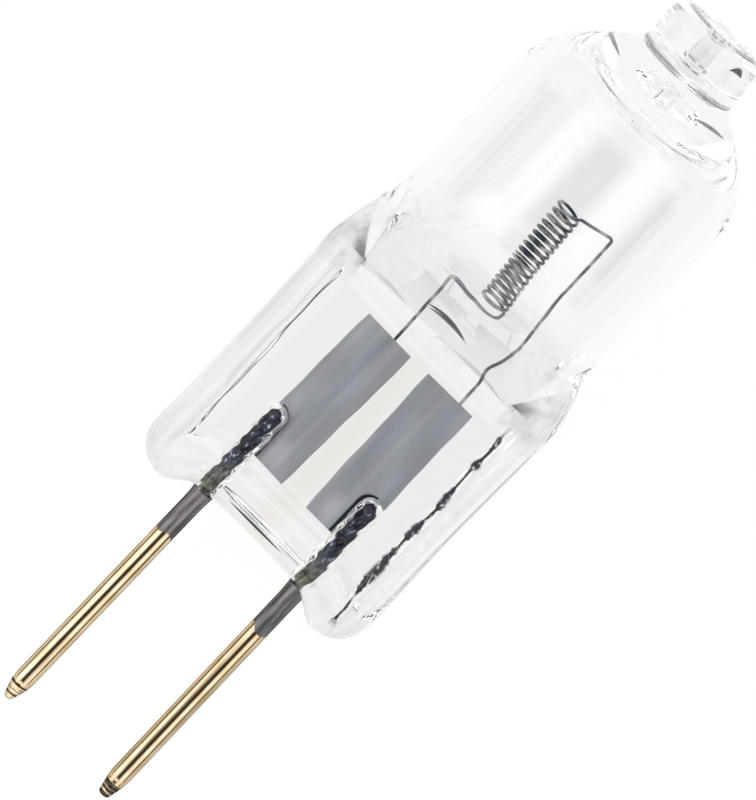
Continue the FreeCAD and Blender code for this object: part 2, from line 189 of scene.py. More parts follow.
def crowded(start, end, count, places, reach, gain):
    """Numbers from start to end that lie closer together near the given places.

    The density is 1 plus a bell curve round each place, and each number has an even share of its running sum.
    """
    fine = np.linspace(start, end, DENSITY_STEPS)
    density = np.ones_like(fine)
    for place in places:
        density += gain * np.exp(-((fine - place) / reach) ** 2)
    total = np.concatenate([[0.0], np.cumsum((density[1:] + density[:-1]) / 2)])
    return np.interp(np.linspace(0.0, total[-1], count), total, fine)


def ovals(rows, turns):
    """Closed outlines up the axis. Each row of the table has a height, half width, half thickness and power.

    A point is the half size times k times the cosine or sine of its turn, where k is the sum of the powers
    of the cosine and the sine, to minus one over the power.
    """
    height, half_width, half_thickness, power = (rows[:, number, None] for number in range(4))
    across, out = np.cos(turns)[None, :], np.sin(turns)[None, :]
    k = (np.abs(across) ** power + np.abs(out) ** power) ** (-1 / power)
    grid = [half_thickness * k * across, half_width * k * out, height + 0 * k]
    return np.stack(grid, axis=-1)


def table(height, half_width, half_thickness, power):
    """A table of rows for ovals, from arrays or single numbers."""
    columns = np.broadcast_arrays(height, half_width, half_thickness, power)
    return np.stack(columns, axis=-1).astype(float)


def turned(profile):
    """A table of circles from pairs of radius and height."""
    profile = np.asarray(profile, float)
    return table(profile[:, 1], profile[:, 0], profile[:, 0], ROUND_POWER)


def arc(centre, radius, start, end, count):
    """Pairs of radius and height on an arc about a centre, between two angles in degrees."""
    angles = np.radians(np.linspace(start, end, count))
    return np.stack([centre[0] + radius * np.cos(angles), centre[1] + radius * np.sin(angles)], axis=-1)


def capped(row, shares):
    """The rows of a flat end: the same outline shrunk towards its middle."""
    rows = np.repeat(row[None, :], len(shares), axis=0)
    rows[:, 1:3] *= np.asarray(shares)[:, None]
    return rows


# %% [markdown]
# ## The outer skin of the glass
# From the foot upwards the skin has two rounded lobes with a shallow arch between them, the flat pinch, a
# shoulder that swells to the round barrel, a low dome and the stub of the tube through which the lamp was
# pumped out. All of it can be one grid, whose rows run up the outside, over the end of the stub and down
# into its open bore.

# %% Sizes of the glass in millimetres
PINCH_POWER = 4.5
ROUND_POWER = 2.0
SLOT_POWER = 2.6

FOOT_HEIGHT = 12.7
FOOT_ROUND = 1.8
FOOT_EDGE = 1.0
ARCH_RISE = 1.12
ARCH_BOW = 0.12
ARCH_FLAT = 3.2
ARCH_RUN = 1.8
RIM = 2.0
WEB = 1.45
WAIST = 6.75
SHOULDER = 6.86
PINCH_TOP = 26.2
SHOULDER_TOP = 31.2
BARREL_START = 32.8
BULB = 5.995
BULB_WALL = 1.0
DOME_START = 38.5
DOME_HEIGHT = 4.85
TOP = 45.5
STUB = 2.5
STUB_EDGE = 0.95
STUB_BORE = 0.55
STUB_BORE_DEPTH = 2.2
ROUNDING_LEAD = 1.5


def half_width(height):
    """Half the width of the pinch: a parabola with its waist midway, less a quarter circle at the foot."""
    middle = (FOOT_HEIGHT + PINCH_TOP) / 2
    share = (height - middle) / (PINCH_TOP - middle)
    return WAIST + (SHOULDER - WAIST) * share ** 2 - FOOT_ROUND * drawn_in(height)


def drawn_in(height):
    """How far the foot's edge has drawn in, from 1 at the very foot to 0 above its rounding."""
    share = np.clip((height - FOOT_HEIGHT) / FOOT_ROUND, 0.0, 1.0)
    return 1 - np.sqrt(share * (2 - share))


def pinch_rows(height):
    """The rows of the foot and the pinch at the given heights."""
    thickness = RIM - (RIM - FOOT_EDGE) * drawn_in(height)
    return table(height, half_width(height), thickness, PINCH_POWER)


def shoulder_thickness(height):
    """Half the thickness of the shoulder at a height, an S from the rim's to the barrel's."""
    return RIM + (BULB - RIM) * eased((height - PINCH_TOP) / (BARREL_START - PINCH_TOP))


def shoulder_rows(count):
    """The rows from the bar of the pinch to the barrel. Width and thickness each follow an S."""
    height = np.linspace(PINCH_TOP, BARREL_START, count + 1)[1:]
    share = (height - PINCH_TOP) / (SHOULDER_TOP - PINCH_TOP)
    power = PINCH_POWER + (ROUND_POWER - PINCH_POWER) * eased(ROUNDING_LEAD * share)
    return table(height, SHOULDER + (BULB - SHOULDER) * eased(share), shoulder_thickness(height), power)


# %% [markdown]
# The dome is a slimmed ellipse, and a hollow curve leads from it into the side of the stub. The stub's end
# is rounded by the flame, and its bore has a round bottom.

# %% The turned end of the capsule
STUB_FILLET = 1.4
STUB_FILLET_RISE = 0.35
BORE_LIP = 0.32
DOME_POWER = 1.3


def curve_between(start, corner, end, count):
    """A curve that leaves start towards a corner and arrives at end from it.

    It is start times the square of what is left, corner times twice share times what is left, and end times
    the square of the share.
    """
    share = np.linspace(0.0, 1.0, count)[:, None]
    start, corner, end = (np.asarray(point, float) for point in (start, corner, end))
    return (1 - share) ** 2 * start + 2 * share * (1 - share) * corner + share ** 2 * end


def dome_profile():
    """Radius and height from the top of the barrel, over the dome and the stub, to the bottom of the bore."""
    last = math.acos(((STUB + STUB_FILLET) / BULB) ** (1 / DOME_POWER))
    turns = np.linspace(0.0, last, 30)
    dome = np.stack([BULB * np.cos(turns) ** DOME_POWER, DOME_START + DOME_HEIGHT * np.sin(turns)], axis=-1)
    slope = (dome[-1, 1] - dome[-2, 1]) / (dome[-2, 0] - dome[-1, 0])
    corner = (STUB, dome[-1, 1] + slope * STUB_FILLET)
    fillet = curve_between(dome[-1], corner, (STUB, corner[1] + STUB_FILLET_RISE), 12)
    edge = arc((STUB - STUB_EDGE, TOP - STUB_EDGE), STUB_EDGE, 0, 90, 9)
    lip = arc((STUB_BORE + BORE_LIP, TOP - BORE_LIP), BORE_LIP, 90, 180, 5)
    bottom = TOP - STUB_BORE_DEPTH
    bore = arc((0.0, bottom + STUB_BORE), STUB_BORE, 0, -85, 9)
    return np.concatenate([dome, fillet[1:], edge, lip, bore])


barrel = np.linspace(BARREL_START, DOME_START, 6)[1:-1]
foot_heights = FOOT_HEIGHT + FOOT_ROUND * np.linspace(0.0, 1.0, 14) ** 2
pinch_heights = crowded(FOOT_HEIGHT + FOOT_ROUND, PINCH_TOP, 74, (14.5, 25.8), 0.5, 2.0)[1:]
foot_rows = pinch_rows(foot_heights)
skin_rows = np.concatenate([
    capped(foot_rows[0], np.linspace(0.04, 1.0, 12)[:-1]),
    foot_rows,
    pinch_rows(pinch_heights),
    shoulder_rows(34),
    turned(np.stack([np.full_like(barrel, BULB), barrel], axis=-1)),
    turned(dome_profile()),
])
print("rows up the skin:", len(skin_rows))

# %% [markdown]
# ## Pressed flats and the arch
# The jaws leave a sunk flat on each face of the pinch, with thicker rims at its sides. It is easiest to
# press it into the finished grid: each point of the faces moves towards the middle by a share that is 1
# inside the flat and falls to 0 over the width of its sloping wall. The wall wanders a little, as hot glass
# does. The arch between the lobes is made the same way, by lifting the foot. Last, the whole capsule is
# moved a little off its own centre line, by shifts that are read from a short table of heights.

# %% Press the flats and lift the arch
RECESS_HALF_WIDTH = 5.35
RECESS_BOTTOM = 14.1
RECESS_TOP = 27.3
TOP_RUN = 2.2
BOTTOM_RUN = 1.9
BOTTOM_RUN_AT_WALL = 0.5
WALL_RUN = 0.42
ARCH_FADE = 2.6
SHIFT_HEIGHTS = (12.7, 20.0, 25.5, 27.5, 29.5, 33.0, 42.0, 44.0)
SHIFTS = (0.11, 0.11, 0.05, 0.05, 0.11, -0.04, -0.02, 0.13)


def wall_place(sideways_place, height, face):
    """Where a flat's side wall stands: it leans a little and wanders by two sines, by four at the right."""
    up = (height - RECESS_BOTTOM) / (RECESS_TOP - RECESS_BOTTOM)
    wander = 0.04 * np.sin(1.1 * height + 2.0 * face) + 0.02 * np.sin(2.7 * height)
    rough = 0.05 * np.sin(2.9 * height + face) + 0.03 * np.sin(6.3 * height)
    left = RECESS_HALF_WIDTH + 0.03 + 0.14 * up + wander
    right = RECESS_HALF_WIDTH + 0.27 - 0.24 * up + wander + rough
    return np.where(sideways_place > 0, left, right)


def pressed(grid):
    """The grid with the flats pressed into both faces.

    The depth is multiplied by one S over the side wall's run, one over the long run at the top and one at the
    bottom. That one is short beside the walls and long in the middle, by the sixth power of the share of the
    way out.
    """
    x, y, height = grid[..., 0], grid[..., 1], grid[..., 2]
    face = np.sign(x)
    wall = wall_place(y, height, face)
    inside = wall - np.abs(y)
    bottom_run = BOTTOM_RUN_AT_WALL + BOTTOM_RUN * (1 - np.clip(np.abs(y) / wall, 0.0, 1.0) ** 6)
    share = eased(inside / WALL_RUN + 0.5)
    share = share * eased((height - RECESS_BOTTOM) / bottom_run) * eased((RECESS_TOP - height) / TOP_RUN)
    depth = np.maximum(np.abs(x) - WEB, 0.0)
    out = grid.copy()
    out[..., 0] = face * (np.abs(x) - depth * share)
    return out


def arched(grid):
    """The grid with its foot lifted between the lobes: a slight bow, an S down to each lobe, less upwards."""
    y, height = grid[..., 1], grid[..., 2]
    bow = ARCH_BOW * np.clip(np.abs(y) / ARCH_FLAT, 0.0, 1.0) ** 2
    rise = (ARCH_RISE - bow) * (1 - eased((np.abs(y) - ARCH_FLAT) / ARCH_RUN))
    out = grid.copy()
    out[..., 2] = height + rise * (1 - eased((height - FOOT_HEIGHT) / ARCH_FADE))
    return out


def off_centre(grid):
    """The grid moved sideways by shifts that change along straight lines between a few heights."""
    out = grid.copy()
    out[..., 1] += np.interp(grid[..., 2], SHIFT_HEIGHTS, SHIFTS)
    return out


WALL_TURN = math.radians(40.5)
wall_turns = [WALL_TURN, math.pi - WALL_TURN, math.pi + WALL_TURN, 2 * math.pi - WALL_TURN]
skin_turns = crowded(0.0, 2 * math.pi, 341, wall_turns, math.radians(3.4), 4.5)[:-1]
skin = off_centre(arched(pressed(ovals(skin_rows, skin_turns))))

# %% [markdown]
# ## The gas space
# Inside, the space for the gas starts as a thin slot over the foils, widens with the shoulder and ends flat
# under the dome, where a short nipple of the exhaust tube hangs into it. Its surface faces inwards, so its
# grid runs the other way round.

# %% The inner surface
CAVITY_BOTTOM = 26.9
CAVITY_SAG = 0.3
SAG_FADE = 2.6
CAVITY_TOP = 40.6
CAVITY_CORNER = 1.8
SLOT_HALF_WIDTH = 4.8
SLOT_HALF_THICKNESS = 0.05
NIPPLE = 1.35
NIPPLE_LENGTH = 0.9
NIPPLE_BORE = 0.4
NIPPLE_BORE_DEPTH = 1.8
NIPPLE_EDGE = 0.3
NIPPLE_LIP = 0.1
NIPPLE_FILLET = 0.35


def gas_rows():
    """The rows of the gas space: slot, swelling, barrel, rounded top, nipple and the nipple's bore."""
    share = np.linspace(0.0, 1.0, 44)
    risen = eased(share)
    bore = BULB - BULB_WALL
    height = CAVITY_BOTTOM + (BARREL_START - CAVITY_BOTTOM) * share
    bottom_wall = shoulder_thickness(CAVITY_BOTTOM) - SLOT_HALF_THICKNESS
    swelling = table(height,
                     SLOT_HALF_WIDTH + (bore - SLOT_HALF_WIDTH) * risen,
                     shoulder_thickness(height) - BULB_WALL - (bottom_wall - BULB_WALL) * (1 - risen),
                     SLOT_POWER + (ROUND_POWER - SLOT_POWER) * risen)
    straight = np.linspace(BARREL_START, CAVITY_TOP - CAVITY_CORNER, 5)[1:-1]
    end = CAVITY_TOP - NIPPLE_LENGTH
    profile = np.concatenate([
        np.stack([np.full_like(straight, bore), straight], axis=-1),
        arc((bore - CAVITY_CORNER, CAVITY_TOP - CAVITY_CORNER), CAVITY_CORNER, 0, 90, 14),
        arc((NIPPLE + NIPPLE_FILLET, CAVITY_TOP - NIPPLE_FILLET), NIPPLE_FILLET, 90, 180, 7),
        arc((NIPPLE - NIPPLE_EDGE, end + NIPPLE_EDGE), NIPPLE_EDGE, 0, -90, 7),
        arc((NIPPLE_BORE + NIPPLE_LIP, end + NIPPLE_LIP), NIPPLE_LIP, -90, -180, 4),
        arc((0.0, end + NIPPLE_BORE_DEPTH - NIPPLE_BORE), NIPPLE_BORE, 0, 85, 7),
    ])
    return np.concatenate([capped(swelling[0], np.linspace(0.05, 1.0, 8)[:-1]), swelling, turned(profile)])


def settled(grid):
    """The grid with the bottom of the slot bent down by the square of the place sideways, fading upwards."""
    y, height = grid[..., 1], grid[..., 2]
    low = 1 - eased((height - CAVITY_BOTTOM) / SAG_FADE)
    out = grid.copy()
    out[..., 2] -= CAVITY_SAG * (y / SLOT_HALF_WIDTH) ** 2 * low
    return out


gas_turns = np.linspace(0.0, 2 * math.pi, 141)[:-1]
gas_space = off_centre(settled(ovals(gas_rows(), gas_turns)))
inner_skin = gas_space[:, ::-1]
print("rows up the gas space:", len(gas_space))

# %% [markdown]
# ## Pins and their channels
# A pin is a round rod with a bullet nose. From the foot of the glass to the foil it narrows a little and
# turns oval, and its inner end is round. The glass has come away from the hot metal by up to a seventh of a
# millimetre, and that thin gap is what makes the sealed ends look dark and glittering. So a channel that is
# wider and rougher than the pin is cut out of the glass.

# %% Rods
PIN_HALF_SPACING = 3.175
PIN = 0.5
PIN_SEALED = 0.46
PIN_GAP = 0.03
LOBE = 0.6
LOBE_START = 13.6
LEAN_LEFT = 0.0105
PIN_LENGTH = 19.0
PIN_TAPER = 1.28
PIN_NARROW = 16.45
FLATTENING = 0.2
FLATTENING_RUN = 1.6
GROOVES = (0.35, 0.62, 0.95)
GROOVE_BREADTH = 0.045
GROOVE_DEPTH = 0.024
NOSE_ROUND = 0.1
NOSE_RISE = 0.06


def pin_profile(nose, roundness):
    """Radius and height of a pin: a bullet nose, grooves of the tool, the rod, and the narrower sealed end.

    The bullet's radius grows from its end's to the rod's by one less a power of the share that is left.
    A groove is the bell curve of the distance from its middle.
    """
    share = np.linspace(0.0, 1.0, 26) ** 1.5
    height = PIN_TAPER * share
    radius = nose + (PIN - nose) * (1 - (1 - share) ** roundness)
    grooves = sum(np.exp(-((height - middle) / GROOVE_BREADTH) ** 2) for middle in GROOVES)
    radius = radius - GROOVE_DEPTH * grooves
    tip = arc((nose - NOSE_ROUND, NOSE_ROUND), NOSE_ROUND, -90, -20, 6)[:-1]
    body = np.stack([np.full(12, PIN), np.linspace(PIN_TAPER, FOOT_HEIGHT, 12)], axis=-1)[1:]
    cone = np.linspace(FOOT_HEIGHT, PIN_NARROW, 16)[1:]
    narrowing = (cone - FOOT_HEIGHT) / (PIN_NARROW - FOOT_HEIGHT)
    sealed = np.stack([PIN + (PIN_SEALED - PIN) * narrowing, cone], axis=-1)
    straight = np.linspace(PIN_NARROW, PIN_LENGTH - PIN_SEALED, 12)[1:]
    straight = np.stack([np.full_like(straight, PIN_SEALED), straight], axis=-1)
    end = arc((0.0, PIN_LENGTH - PIN_SEALED), PIN_SEALED, 0, 86, 12)[1:]
    nose_part = np.stack([radius, height + NOSE_RISE], axis=-1)
    nose_part = nose_part[nose_part[:, 1] < PIN_TAPER]
    return np.concatenate([tip, nose_part, body, sealed, straight, end])


def at_pin(grid, side):
    """The grid moved to a pin's place. The left pin leans towards the other by a hundredth of its height."""
    out = grid + np.array([PIN_DEPTH, side * PIN_HALF_SPACING, 0.0])
    out[..., 1] -= LEAN_LEFT * (side > 0) * grid[..., 2]
    return out


rod_turns = np.linspace(0.0, 2 * math.pi, 65)[:-1]
NOSES = {"left": (0.2, 1.9), "right": (0.28, 1.7)}
SIDES = {"left": 1, "right": -1}

# Each sealed end is widened sideways by an S of the height above the foot
rods = {}
for name, side in SIDES.items():
    rod = ovals(turned(pin_profile(*NOSES[name])), rod_turns)
    rod[..., 1] *= 1 + FLATTENING * eased((rod[..., 2] - FOOT_HEIGHT) / FLATTENING_RUN)
    rods[name] = at_pin(rod, side)


RIPPLE = 0.03
RIPPLE_START = 0.6


def channel(side):
    """The gap round a sealed pin: a snug mouth and a wider lobe with a round end.

    Its wall is rippled by sines of the turn and the height, one product of two and one travelling wave.
    """
    in_glass = np.linspace(FOOT_HEIGHT + 0.1, PIN_LENGTH - PIN_SEALED, 90)
    height = np.concatenate([[FOOT_HEIGHT - 1.0], in_glass])
    widening = eased((height - FOOT_HEIGHT) / (LOBE_START - FOOT_HEIGHT))
    body = np.stack([PIN + PIN_GAP + (LOBE - PIN - PIN_GAP) * widening, height], axis=-1)
    end = arc((0.0, PIN_LENGTH - PIN_SEALED), LOBE, 0, 86, 10)[1:]
    turns = np.linspace(0.0, 2 * math.pi, 73)[:-1]
    grid = ovals(turned(np.concatenate([body, end])), turns)
    ripple = np.sin(5 * turns[None, :] + 2.3 * grid[..., 2]) * np.sin(7.1 * grid[..., 2] + 3 * side)
    ripple = ripple + 0.7 * np.sin(9 * turns[None, :] - 5.3 * grid[..., 2])
    grid[..., :2] *= (1 + RIPPLE * ripple * (grid[..., 2] > FOOT_HEIGHT + RIPPLE_START))[..., None]
    return at_pin(grid, side)


# %% [markdown]
# ## Foils
# Glass and thick metal part when they cool, so the current passes through two ribbons of molybdenum, thin
# enough to stretch with the glass. Each is a little wavy and its edges aren't quite straight. A ribbon is a
# grid too: rows along its length, whose points go once round its thin section.

# %% Ribbons
FOIL_BOTTOM = 16.45
FOIL_LENGTH = 8.5
FOIL_HALF_WIDTH = 1.4
FOIL_HALF_THICKNESS = 0.015
FOIL_PLACES = {"left": (1.84, 2.1), "right": (2.21, 0.3)}


def ribbon(side, offset, lean):
    """A flat ribbon turned by its lean in its own plane, with slow waves in its edges and in its depth.

    Its half width varies by two sines of a hundredth of it and is a little less at the lower end.
    """
    share = np.linspace(0.0, 1.0, 60)
    half = FOIL_HALF_WIDTH * (1 + 0.012 * np.sin(9 * share + side) + 0.008 * np.sin(23 * share))
    half = half - 0.06 * np.exp(-share / 0.2)
    rows = table((share - 0.5) * FOIL_LENGTH, half, FOIL_HALF_THICKNESS, 12.0)
    rows = np.concatenate([capped(rows[0], [0.1, 0.6]), rows, capped(rows[-1], [0.6, 0.1])])
    corners = [math.pi * number / 4 for number in (1, 3, 5, 7)]
    turns = crowded(0.0, 2 * math.pi, 65, corners, 0.1, 2)
    grid = ovals(rows, turns[:-1])
    grid[..., 0] += 0.012 * np.sin(2.2 * grid[..., 1] + side) * np.sin(1.3 * grid[..., 2])
    angle = math.radians(side * lean)
    y = grid[..., 1] * math.cos(angle) - grid[..., 2] * math.sin(angle)
    height = grid[..., 1] * math.sin(angle) + grid[..., 2] * math.cos(angle)
    return np.stack([grid[..., 0], y + side * offset, height + FOIL_BOTTOM + FOIL_LENGTH / 2], axis=-1)


ribbons = {name: ribbon(side, *FOIL_PLACES[name]) for name, side in SIDES.items()}

# %% [markdown]
# ## The filament
# The filament is one thin tungsten wire: up from the left foil, across, eighteen turns round, across again
# and down to the right foil. Its path is written as points, each bend is one curve of the same reach, and
# the wire is a circle carried along that path.

# %% One wire from foil to foil
WIRE = 0.078
WIRE_DEPTH = 0.1
COIL_RADIUS = 0.64
COIL_BOTTOM = 28.98
COIL_PITCH = 0.322
COIL_TURNS = 18.0
POINTS_A_TURN = 32
COIL_OFFSETS = (-0.6, -0.34)
OPEN_TURNS = 3.0
OPEN_RISE = 0.22
LEAD_LEFT = 1.4
LEAD_RIGHT = -2.8
WELD_BOTTOM = 23.95
LEAD_BEND = 0.22


def rounded(points, radius, steps=7):
    """A path through points, each corner replaced by a curve that starts and ends at the radius from it."""
    points = [np.asarray(point, float) for point in points]
    path = [points[0][None, :]]
    for before, corner, after in zip(points, points[1:], points[2:]):
        back = (before - corner) / np.linalg.norm(before - corner)
        ahead = (after - corner) / np.linalg.norm(after - corner)
        path.append(curve_between(corner + radius * back, corner, corner + radius * ahead, steps))
    path.append(points[-1][None, :])
    return np.concatenate(path)


def coil():
    """A helix: radius times cosine and sine of the turn, rising by the pitch each turn.

    Its axis leans sideways, and the last turns are pulled open and tipped.
    """
    turns = np.linspace(0.0, COIL_TURNS, int(COIL_TURNS * POINTS_A_TURN) + 1)
    angle = 2 * math.pi * turns + math.pi / 2
    share = turns / COIL_TURNS
    opened = eased((turns - COIL_TURNS + OPEN_TURNS) / OPEN_TURNS)
    across = np.sin(angle)
    y = COIL_OFFSETS[0] + (COIL_OFFSETS[1] - COIL_OFFSETS[0]) * share - COIL_RADIUS * across
    tipped = 0.6 - 0.25 * across - 0.5 * np.cos(angle)
    height = COIL_BOTTOM + COIL_PITCH * turns + OPEN_RISE * opened * tipped
    return np.stack([-COIL_RADIUS * np.cos(angle), y, height], axis=-1)


def tube(path, radius, sides=12):
    """A circle of points round each point of a path, on two directions square to the path's own."""
    ahead = np.gradient(path, axis=0)
    ahead /= np.linalg.norm(ahead, axis=1, keepdims=True)
    slanted = np.ones(3) / math.sqrt(3)
    first = np.cross(ahead, slanted)
    first /= np.linalg.norm(first, axis=1, keepdims=True)
    second = np.cross(ahead, first)
    turns = np.linspace(0.0, 2 * math.pi, sides + 1)[None, :-1, None]
    circle = np.cos(turns) * first[:, None, :] + np.sin(turns) * second[:, None, :]
    return path[:, None, :] + radius * circle


coil_path = coil()
wire_path = np.concatenate([
    rounded([(WIRE_DEPTH, LEAD_LEFT, WELD_BOTTOM), (WIRE_DEPTH, LEAD_LEFT, CAVITY_BOTTOM),
             (-0.1, LEAD_LEFT + 0.05, 28.75), (-0.25, -0.7, 28.58), (-0.1, -1.2, 28.72), coil_path[0]],
            LEAD_BEND)[:-1],
    coil_path,
    rounded([coil_path[-1], (0.1, LEAD_RIGHT + 0.12, 35.22), (0.15, LEAD_RIGHT + 0.08, 30.2),
             (0.1, LEAD_RIGHT - 0.04, 28.0), (WIRE_DEPTH, LEAD_RIGHT + 0.24, 27.35),
             (WIRE_DEPTH, LEAD_RIGHT + 0.02, 26.7), (WIRE_DEPTH, LEAD_RIGHT, WELD_BOTTOM)], LEAD_BEND)[1:],
])
wire = tube(wire_path, WIRE)
print("length of wire", round(float(np.linalg.norm(np.diff(wire_path, axis=0), axis=1).sum()), 1), "mm")

# %% [markdown]
# ## Small tools for materials
# A material is a tree of nodes. A few helpers keep each tree readable: one adds a node and fills or links
# its inputs, another gives the place on the lamp in upright millimetres, from the Object coordinates, so
# that a pattern can follow the lamp's axis.

# %% Node helpers


def add(tree, kind, inputs=None, **settings):
    """Adds a node, sets its properties, and gives each named input a value or links it to a socket."""
    node = tree.nodes.new(kind)
    for name, value in settings.items():
        setattr(node, name, value)
    for name, value in (inputs or {}).items():
        socket = node.inputs[name]
        if isinstance(value, bpy.types.NodeSocket):
            tree.links.new(value, socket)
        else:
            socket.default_value = value
    return node


def material_with(name, **values):
    """A new material with only a Principled shader, and its plain values set."""
    material = bpy.data.materials.new(name)
    material.use_nodes = True
    tree = material.node_tree
    tree.nodes.clear()
    inputs = {key.replace("_", " "): value for key, value in values.items()}
    shader = add(tree, "ShaderNodeBsdfPrincipled", inputs)
    output = add(tree, "ShaderNodeOutputMaterial")
    tree.links.new(shader.outputs[0], output.inputs["Surface"])
    return material, tree, shader


def lamp_place(tree):
    """Upright millimetres: Object coordinates scaled, turned by the lamp's tilt and moved to the pin tips."""
    coordinates = add(tree, "ShaderNodeTexCoord")
    start = -(LAMP_AXES @ LAMP_START) / MM
    mapping = add(tree, "ShaderNodeMapping", {
        "Vector": coordinates.outputs["Object"],
        "Scale": (1 / MM, 1 / MM, 1 / MM),
        "Rotation": (0.0, LAMP_TILT - math.pi / 2, 0.0),
        "Location": tuple(start),
    })
    return mapping.outputs[0]


def parts_of(tree, vector):
    """The three coordinates of a vector as sockets."""
    return add(tree, "ShaderNodeSeparateXYZ", {"Vector": vector}).outputs


def noise(tree, vector, scale, detail=2.0, stretch=(1.0, 1.0, 1.0)):
    """Smooth noise over the lamp, in spots of one over the scale in millimetres, longer where stretched."""
    longer = add(tree, "ShaderNodeMapping", {"Vector": vector, "Scale": tuple(1 / part for part in stretch)})
    spots = add(tree, "ShaderNodeTexNoise", {"Vector": longer.outputs[0], "Scale": scale, "Detail": detail})
    return spots.outputs[0]


# %% [markdown]
# Most patterns are sums and products of distances. Each of the next helpers is one Math node, or a chain of
# them, and takes numbers and sockets alike.

# %% Sums and products in a tree


def math_of(tree, operation, first, second=0.0):
    """One operation of a Math node on two values or sockets."""
    node = add(tree, "ShaderNodeMath", {0: first, 1: second}, operation=operation)
    return node.outputs[0]


def times(tree, first, *others):
    """The product of several values or sockets."""
    for other in others:
        first = math_of(tree, "MULTIPLY", first, other)
    return first


def plus(tree, first, second):
    """The sum of two values or sockets."""
    return math_of(tree, "ADD", first, second)


def less(tree, first, second):
    """The first value or socket less the second."""
    return math_of(tree, "SUBTRACT", first, second)


def over(tree, first, second):
    """The first value or socket divided by the second."""
    return math_of(tree, "DIVIDE", first, second)


def size_of(tree, value):
    """A value without its sign."""
    return math_of(tree, "ABSOLUTE", value)


# %% [markdown]
# Colours come from ramps, which turn a value into a colour, and from Mix nodes, which lay one colour over
# another.

# %% Ramps and mixes


def ramp(tree, value, stops):
    """A colour for each value, from pairs of a place and a colour or grey."""
    node = add(tree, "ShaderNodeValToRGB", {"Fac": value})
    elements = node.color_ramp.elements
    while len(elements) < len(stops):
        elements.new(0.5)
    for element, (place, colour) in zip(elements, stops):
        grey = not isinstance(colour, tuple)
        element.position = place
        element.color = (colour, colour, colour, 1.0) if grey else (*colour, 1.0)
    return node.outputs["Color"]


def blended(tree, share, first, second):
    """A colour between two colours or sockets."""
    node = add(tree, "ShaderNodeMix", data_type="RGBA")
    for number, value in ((0, share), (6, first), (7, second)):
        if isinstance(value, bpy.types.NodeSocket):
            tree.links.new(value, node.inputs[number])
        elif number == 0:
            node.inputs[number].default_value = value
        else:
            node.inputs[number].default_value = (*value, 1.0)
    return node.outputs[2]


def add_colours(tree, kind, first, second):
    """Two colour sockets multiplied or lightened with each other."""
    node = add(tree, "ShaderNodeMix", {0: 1.0}, data_type="RGBA", blend_type=kind)
    tree.links.new(first, node.inputs[6])
    tree.links.new(second, node.inputs[7])
    return node.outputs[2]


# %% [markdown]
# ## Quartz
# Fused quartz is clear glass of index 1.46. Light takes on the base colour wherever it passes the surface,
# so a base colour a little under white gives the faint grey of the real glass. It is darker in the pinch
# than in the bulb, and darker again in the dome and the stub. A ramp takes values from 0 to 1, so heights
# are divided by 50 mm first and places sideways by 10 mm.

# %% The tint of the glass up the lamp
HEIGHT_SCALE = 50.0
WIDTH_SCALE = 10.0

quartz, tree, shader = material_with("quartz", Roughness=0.0, IOR=1.458, Transmission_Weight=1.0)
place = lamp_place(tree)
through_place, sideways_place, height = parts_of(tree, place)
share_up = over(tree, height, HEIGHT_SCALE)
from_middle = size_of(tree, sideways_place)
near_face = math_of(tree, "LESS_THAN", through_place, 0.0)

tint = ramp(tree, share_up, [
    (0.28, (0.85, 0.838, 0.825)),
    (0.33, (0.905, 0.905, 0.885)),
    (0.5, (0.905, 0.905, 0.885)),
    (0.515, (0.85, 0.85, 0.835)),
    (0.545, (0.88, 0.88, 0.87)),
    (0.62, (0.952, 0.952, 0.948)),
    (0.79, (0.952, 0.952, 0.948)),
    (0.84, (0.918, 0.918, 0.91)),
    (0.89, (0.89, 0.885, 0.875)),
])
below = ramp(tree, share_up, [(0.47, 1.0), (0.54, 0.0)])
between_foils = ramp(tree, from_middle, [(0.3, (0.97, 0.95, 0.935)), (1.0, (1.0, 1.0, 1.0))])
tint = blended(tree, below, tint, add_colours(tree, "MULTIPLY", tint, between_foils))

# %% [markdown]
# Fine lines run along the rims of the pinch. Noise that is stretched thirty times along the axis gives
# them, and two ramps keep them on the rims.

# %% Drawn lines on the rims
drawn = noise(tree, place, 2.2, detail=2.0, stretch=(1.0, 1.0, 30.0))
drawn_lines = ramp(tree, drawn, [(0.4, 0.86), (0.56, 0.985)])
on_rim = ramp(tree, over(tree, from_middle, WIDTH_SCALE), [(0.54, 0.0), (0.57, 1.0)])
on_rim = times(tree, on_rim, below)
tint = blended(tree, on_rim, tint, add_colours(tree, "MULTIPLY", tint, drawn_lines))

# %% [markdown]
# A dark line of painted shade runs up the right rim, where the steep wall of the pressed flat shows a dark
# edge by bending the light. It is painted: the distance sideways from a wandering line is divided by a
# breadth that changes along it, and noise breaks up its darkness.

# %% Painted shade along the right rim
DARK_LINE_PLACE = 5.1
DARK_LINE_SWING = 0.55
LEAST_BREADTH = 0.01
ONLY_ALONG = (300.0, 300.0, 1.0)

